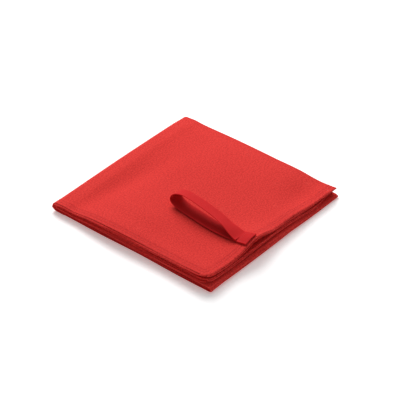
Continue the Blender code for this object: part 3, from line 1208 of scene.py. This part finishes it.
@dataclass
class BackFolds:
    """The folds along the back edge, which join the upper rows to the lower ones."""

    top: Row
    bend_share: float = 0.80

    @staticmethod
    def join(piece: bpy.types.Object, reach: float) -> None:
        """Bakes a fold's place into its mesh; the points it was to bend between are worked out but not used.
        """
        low = (X_BACK_CENTRE, 0.0, Z_BACK_CENTRE - reach)
        high = (X_BACK_CENTRE, 0.0, Z_BACK_CENTRE + reach)
        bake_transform(piece)

    def build_outer(self) -> None:
        """The four outer folds, which carry the top row round to the bottom row."""
        turn = Turn(X_BACK_CENTRE, Z_BACK_CENTRE, -1.0, BACK_RADIUS - 1.5 * PITCH)
        made = SweptFold("back_fold_outer", self.top, turn, 28).build()
        nodes = [f"back_fold_{number}" for number in range(1, 5)]
        install(made, Slot.FOLD, nodes, None)
        self.join(made, (BACK_RADIUS - 3 * PITCH) * self.bend_share)
        flat = (self.top.section.length, math.pi * turn.mean_radius + 2 * FOLD_TAIL)

    def build_inner(self) -> None:
        """The four inner folds, one for each ply of the second row."""
        for ply in range(PLIES_IN_ROW):
            radius = BACK_RADIUS - (ply + 4) * PITCH
            hemmed = ply >= 2
            plain_start = Y_SIDE_CENTRE - INNER_RADIUS
            start = (plain_start, plain_start, Y_SIDE + INNER_HEM_BACK, Y_SIDE)[ply]
            turn = Turn(X_BACK_CENTRE, Z_BACK_CENTRE, -1.0, radius)
            shape = HemShape(INNER_HEM)

            def half(one: Array, two: Array) -> Array:
                """Half the thickness, with a hem on the two innermost folds."""
                inward = one - start
                share = smooth((HEM_WIDTH + HEM_EASE / 2 - inward) / HEM_EASE) if hemmed else 0.0 * one
                return share * shape.half(inward) + (1 - share) * CLOTH / 2

            past_hem = start + 14 * MM
            fine, coarse = spaced(start, past_hem, 0.75 * MM), spaced(past_hem, Y_FAR_CENTRE, 5 * MM)
            first = np.concatenate((fine[:-1], coarse))
            made = Maker.sheet(
                f"back_fold_inner_{ply + 1}",
                lambda one, two: turn.bend(one, np.full_like(one, Z_BACK_CENTRE + radius), two),
                first,
                turn.runs(12 if ply < 3 else 8),
                half,
                20 + ply,
            )
            install(made, Slot.FOLD, [f"back_fold_{ply + 5}"], None)
            self.join(made, radius * self.bend_share)

    def build(self) -> None:
        """Makes all eight folds."""
        self.build_outer()
        self.build_inner()


@dataclass
class FrontFolds:
    """The folds along the front edge, which join the third row to the bottom row."""

    third: Row

    def build(self) -> None:
        """Makes the four folds as one strip, as the cloth is."""
        turn = Turn(X_FRONT_CENTRE, Z_FRONT_CENTRE, 1.0, FRONT_RADIUS - 1.5 * PITCH)
        made = SweptFold("front_fold_strip", self.third, turn, 22).build()
        install(made, Slot.FOLD, [f"front_fold_{number}" for number in range(1, 5)], LOWER)
        flat = (self.third.section.length, math.pi * turn.mean_radius + 2 * FOLD_TAIL)


# ---------------------------------------------------------------- the stitching


@dataclass
class HemStitching:
    """Two rows of stitches round the hem of the flap, with a gap under the tape."""

    row: Row
    tape_y: float
    tape_clear: float = 12.0 * MM
    corner_clear: float = 4 * MM
    sampling: float = 0.8 * MM
    stitch: float = 2.7 * MM
    space: float = 0.9 * MM
    radius: float = 0.30 * MM

    def on_face(self, place: Place, run: Array, inward: Array) -> tuple[Array, Array]:
        """Points and normals on the upper face of a hem.

        Args:
            place: The hem's middle surface.
            run: Lengths along the hem.
            inward: Lengths in from its edge.

        Returns:
            The points and the normals.
        """
        facing = Maker.normals(place, run, inward)
        facing = facing * np.sign(facing[..., 2:3])
        half = self.row.section.outer_hem.half(inward)[..., None]
        return place(run, inward) + facing * half, facing

    def build(self) -> list[bpy.types.Object]:
        """Makes both rows of stitches in three stretches each."""
        made = []
        row = self.row
        straight = X_FREE - row.corner_radius - row.starts
        corner = row.corner_radius * math.pi / 2
        tape_run = self.tape_y - Y_SIDE
        for label, inward in zip(("outer", "inner"), STITCH_LINES):
            near_start = row.corner_radius + self.corner_clear
            far_stop = row.section.breaks[0][1]
            side_run = spaced(-FOLD_TAIL, straight + corner * 0.96, self.sampling)
            near_run = spaced(near_start, tape_run - self.tape_clear, self.sampling)
            far_run = spaced(tape_run + self.tape_clear, far_stop, self.sampling)
            side = self.on_face(row.outer_place, side_run, np.full_like(side_run, inward))
            near = self.on_face(row.end_place, near_run, np.full_like(near_run, inward))
            far = self.on_face(row.end_place, far_run, np.full_like(far_run, inward))
            for stretch, node, (line, facing) in (
                (f"side_stitches_{label}", f"side_hem_thread_{label}", side),
                (f"end_stitches_near_{label}", f"end_hem_thread_near_{label}", near),
                (f"end_stitches_far_{label}", f"end_hem_thread_far_{label}", far),
            ):
                piece = Maker.stitches(stretch, line, facing, self.stitch, self.space, self.radius)
                made.append(install(piece, Slot.THREAD, [node], UPPER))
        return made


# ---------------------------------------------------------------- the pull loop


@dataclass
class PullLoop:
    """A tape sewn flat on the flap, one end on the other, whose loop rolls over at its tip."""

    width: float = 20 * MM
    thickness: float = 1.1 * MM
    length: float = 112 * MM
    rise: float = 18 * MM
    skew: float = 4 * MM
    tip_shift: float = 9 * MM
    roll_from: float = 0.75
    upper_tilt: float = math.radians(20)
    lower_tilt: float = math.radians(4)
    sewn_length: float = 16 * MM
    from_edge: float = 1 * MM
    bend_length: float = 32 * MM
    stitch_in: float = 2.5 * MM
    edge_round: float = 0.4 * MM
    y: float = field(init=False)
    x_join: float = field(init=False)
    base: float = field(init=False, default=STACK + GAP)

    def __post_init__(self) -> None:
        """Takes the seam's place from the frame."""
        low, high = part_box("loop_sewn_end_lower")
        self.y = (low.y + high.y) / 2
        self.x_join = X_FREE - self.from_edge - self.sewn_length

    def rest_rise(self, x: Array, y: Array) -> Array:
        """How much higher than the flat pile the flap's face is."""
        top = np.stack(np.broadcast_arrays(x, y, np.full_like(x, STACK - CLOTH / 2)), axis=-1)
        return PILE.settle(top)[..., 2] - (STACK - CLOTH / 2)

    def half_rise(self, part: float) -> float:
        """Half the height between the strands before the tip's roll closes it."""
        eased = part * part / (part + 0.03)
        return (self.thickness + GAP + self.rise * (1 - (1 - eased) ** 3.8)) / 2

    def roll(self, part: float) -> float:
        """How open the loop still is: 1 along the strands, falling to 0 round the tip."""
        if part < self.roll_from:
            return 1.0
        return math.sqrt(max(0.0, 1 - ((part - self.roll_from) / (1 - self.roll_from)) ** 2.4))

    def strand(self, part: float, side: int) -> tuple[Vector, Vector]:
        """The middle of the tape and its width direction on one strand.

        Args:
            part: The share of the loop's length, from the seam to the tip.
            side: -1 for the lower strand and 1 for the upper one.

        Returns:
            The place in the flat pile, and the direction.
        """
        half, roll = self.half_rise(part), self.roll(part)
        tilt = (self.upper_tilt if side > 0 else self.lower_tilt) * float(smooth(part / 0.25)) * roll
        across = Vector((0, math.cos(tilt), -math.sin(tilt)))
        skew = self.skew * float(smooth(part / 0.4)) * (1 + side * roll) / 2
        y = self.y + self.tip_shift * float(smooth(part)) + skew
        height = self.base + self.thickness / 2 + half * (1 + side * roll)
        if side < 0:
            height += self.width / 2 * math.sin(tilt)
        return Vector((self.x_join - self.length * part, y, height)), across

    def stations(self, count: int) -> tuple[Array, Array, float]:
        """Evenly spaced places along the tape.

        Args:
            count: How many lengths to divide it into.

        Returns:
            The places, the width directions and the tape's length.
        """
        dense = 400
        parts = [math.sin(math.pi / 2 * step / dense) for step in range(dense + 1)]
        points = [self.strand(part, -1) for part in parts]
        points += [self.strand(part, 1) for part in parts[-2::-1]]
        places = np.array([point for point, _ in points])
        across = np.array([direction for _, direction in points])
        run = np.concatenate(([0.0], np.cumsum(np.linalg.norm(np.diff(places, axis=0), axis=1))))
        wanted = np.linspace(0, run[-1], count + 1)
        at = along_line(wanted, run, places)
        way = unit(along_line(wanted, run, across))
        at[:, 2] += self.rest_rise(at[:, 0], at[:, 1])
        return at, way, float(run[-1])

    def build_loop(self) -> bpy.types.Object:
        """The free loop, with a slight crown across the tape."""
        count, strips = 264, 12
        edge = self.width / 2 - self.edge_round
        at, way, length = self.stations(count)
        ahead = np.zeros_like(at)
        ahead[1:-1] = at[2:] - at[:-2]
        ahead[0], ahead[-1] = (-1, 0, 0), (1, 0, 0)
        face = unit(np.cross(ahead, way))
        runs = np.linspace(0, length, count + 1)

        def place(run: Array, across: Array) -> Array:
            """The middle of the tape."""
            parts = [along_line(run, runs, source) for source in (at, way, face)]
            share = across[..., None] / (self.width / 2)
            crown = 0.3 * MM * (1 - share**2) * np.sin(run[..., None] * math.pi / length)
            return parts[0] + unit(parts[1]) * across[..., None] + unit(parts[2]) * crown

        made = Maker.sheet(
            "tape_loop",
            place,
            runs,
            np.linspace(-edge, edge, strips + 1),
            lambda one, two: self.edge_half(two),
            30.0,
        )
        install(made, Slot.TAPE, ["pull_loop"], None)
        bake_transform(made)
        return made

    def edge_half(self, across: Array) -> Array:
        """Half the tape's thickness, a little more along its woven edges."""
        share = np.abs(across) / (self.width / 2)
        return self.thickness / 2 * (0.88 + 0.14 * smooth((share - 0.80) / 0.14))

    def sewn_place(self, level: int) -> Place:
        """The middle of one sewn end."""
        height = self.base + self.thickness / 2 + level * (self.thickness + GAP)

        def place(run: Array, across: Array) -> Array:
            """The middle of the tape, resting on the flap."""
            x = self.x_join + GAP + run
            y = self.y + across
            return np.stack((x, y, height + self.rest_rise(x, y)), axis=-1)

        return place

    def sewn_half(self, run: Array, across: Array) -> Array:
        """Half the thickness of a sewn end, pinched along the box of stitching.

        Args:
            run: Lengths along the tape, from the seam.
            across: Lengths across it, from its middle.

        Returns:
            Half the thickness at each place.
        """
        inset_x = np.minimum(run, self.sewn_length - GAP - run) - self.stitch_in
        inset_y = self.width / 2 - np.abs(across) - self.stitch_in
        in_box = np.minimum(inset_x, inset_y) > -1.2 * MM
        line = np.where(in_box, np.minimum(np.abs(inset_x), np.abs(inset_y)), 1.0)
        return self.edge_half(across) - 0.16 * MM * np.exp(-((line / (0.6 * MM)) ** 2))

    def build_sewn_ends(self) -> list[bpy.types.Object]:
        """The two ends of the tape, one on the other."""
        made = []
        for label, level in (("lower", 0), ("upper", 1)):
            piece = Maker.sheet(
                f"tape_sewn_end_{label}",
                self.sewn_place(level),
                spaced(self.edge_round, self.sewn_length - GAP - self.edge_round, 0.7 * MM),
                spaced(-self.width / 2 + self.edge_round, self.width / 2 - self.edge_round, 0.8 * MM),
                self.sewn_half,
                31.0 + level,
            )
            made.append(install(piece, Slot.TAPE, [f"loop_sewn_end_{label}"], UPPER))
        return made

    def build_box_stitch(self) -> bpy.types.Object:
        """The box of stitching over the sewn ends."""
        half = self.width / 2 - self.stitch_in
        first, last = self.stitch_in, self.sewn_length - GAP - self.stitch_in
        corners = [(first, -half), (last, -half), (last, half), (first, half), (first, -half)]
        run, across = [], []
        for before, after in zip(corners, corners[1:]):
            run.append(np.linspace(before[0], after[0], 24)[:-1])
            across.append(np.linspace(before[1], after[1], 24)[:-1])
        run, across = np.concatenate(run), np.concatenate(across)
        place = self.sewn_place(1)
        facing = Maker.normals(place, run, across)
        facing = facing * np.sign(facing[..., 2:3])
        line = place(run, across) + facing * self.sewn_half(run, across)[..., None]
        piece = Maker.stitches("box_stitches", line, facing, 2.1 * MM, 0.6 * MM, 0.28 * MM)
        return install(piece, Slot.THREAD, ["loop_box_stitch"], UPPER)

    def build(self) -> list[bpy.types.Object]:
        """Makes the loop, its sewn ends and their stitching."""
        return [self.build_loop(), *self.build_sewn_ends(), self.build_box_stitch()]


# ---------------------------------------------------------------- the studio


@dataclass
class Studio:
    """A pale floor, soft light and the camera."""

    azimuth: float = 40.08
    elevation: float = 36.18
    distance: float = 2.202
    lens: float = 159.1
    right: float = 4.7 * MM
    up: float = 4.4 * MM
    floor_half: float = 6.0
    floor_drop: float = 0.4 * MM
    surround: float = 0.30

    def build_floor(self) -> None:
        """A large flat floor just under the pile."""
        data = bpy.data.meshes.new("floor")
        half = self.floor_half
        corners = [(-half, -half, 0), (half, -half, 0), (half, half, 0), (-half, half, 0)]
        data.from_pydata(corners, [], [(0, 1, 2, 3)])
        floor = bpy.data.objects.new("floor", data)
        floor.location.z = -self.floor_drop
        bpy.context.scene.collection.objects.link(floor)
        data.materials.append(FloorFinish("pale_floor", (0.93, 0.93, 0.93, 1), (0.91, 0.91, 0.91, 1)).build())

    @staticmethod
    def add_light(name: str, place: tuple[float, float, float], size: float, power: float) -> None:
        """A square soft light that faces the pile.

        Args:
            name: The light's name.
            place: Where it is.
            size: The length of its side.
            power: Its power in watts.
        """
        data = bpy.data.lights.new(name, "AREA")
        data.size = size
        data.energy = power
        light = bpy.data.objects.new(name, data)
        light.location = place
        light.rotation_mode = "QUATERNION"
        light.rotation_quaternion = (-Vector(place)).to_track_quat("-Z", "Y")
        bpy.context.scene.collection.objects.link(light)

    def build_lights(self) -> None:
        """A large soft light from behind and above, and an even surround."""
        world = bpy.data.worlds.new("surround")
        world.use_nodes = True
        background = world.node_tree.nodes["Background"]
        background.inputs["Color"].default_value = (1, 1, 1, 1)
        background.inputs["Strength"].default_value = self.surround
        bpy.context.scene.world = world
        self.add_light("key_light", (-1.30, 1.00, 1.80), 1.5, 64.0)
        self.add_light("top_light", (0.0, 0.2, 2.3), 1.2, 5.0)

    def build_camera(self) -> None:
        """The camera, looking at the pile from its front corner."""
        a, e = math.radians(self.azimuth), math.radians(self.elevation)
        back = Vector((math.sin(a) * math.cos(e), -math.cos(a) * math.cos(e), math.sin(e)))
        right = (-back).cross(Vector((0, 0, 1))).normalized()
        up = right.cross(-back)
        aim = right * self.right + up * self.up
        data = bpy.data.cameras.new("camera")
        data.lens = self.lens
        data.sensor_width = 36
        camera = bpy.data.objects.new("camera", data)
        camera.location = aim + back * self.distance
        camera.rotation_mode = "QUATERNION"
        camera.rotation_quaternion = (-back).to_track_quat("-Z", "Y")
        bpy.context.scene.collection.objects.link(camera)
        bpy.context.scene.camera = camera

    def build(self) -> None:
        """Makes the whole set."""
        bpy.context.scene.view_settings.view_transform = "Standard"
        self.build_floor()
        self.build_lights()
        self.build_camera()


def main() -> None:
    """Makes the blanket, its folds, its stitching and its loop, and then the studio."""
    logging.basicConfig(level=logging.INFO, format="%(name)s: %(message)s")
    Studio().build()
    top = Row("top_row", 0, UPPER, across_step=3.2 * MM, along_step=3.2 * MM, hem_thickness=2.3 * MM)
    second = Row("second_row", 1, UPPER)
    third = Row("third_row", 2, LOWER)
    bottom = Row("bottom_row", 3, LOWER)
    for row in (top, second, third, bottom):
        row.build()
    BackFolds(top).build()
    FrontFolds(third).build()
    loop = PullLoop()
    stitching = HemStitching(top, loop.y).build()
    tape = loop.build()
    top.declare([*stitching, *tape])
    for row in (second, third, bottom):
        row.declare()


if __name__ == "__main__":
    main()
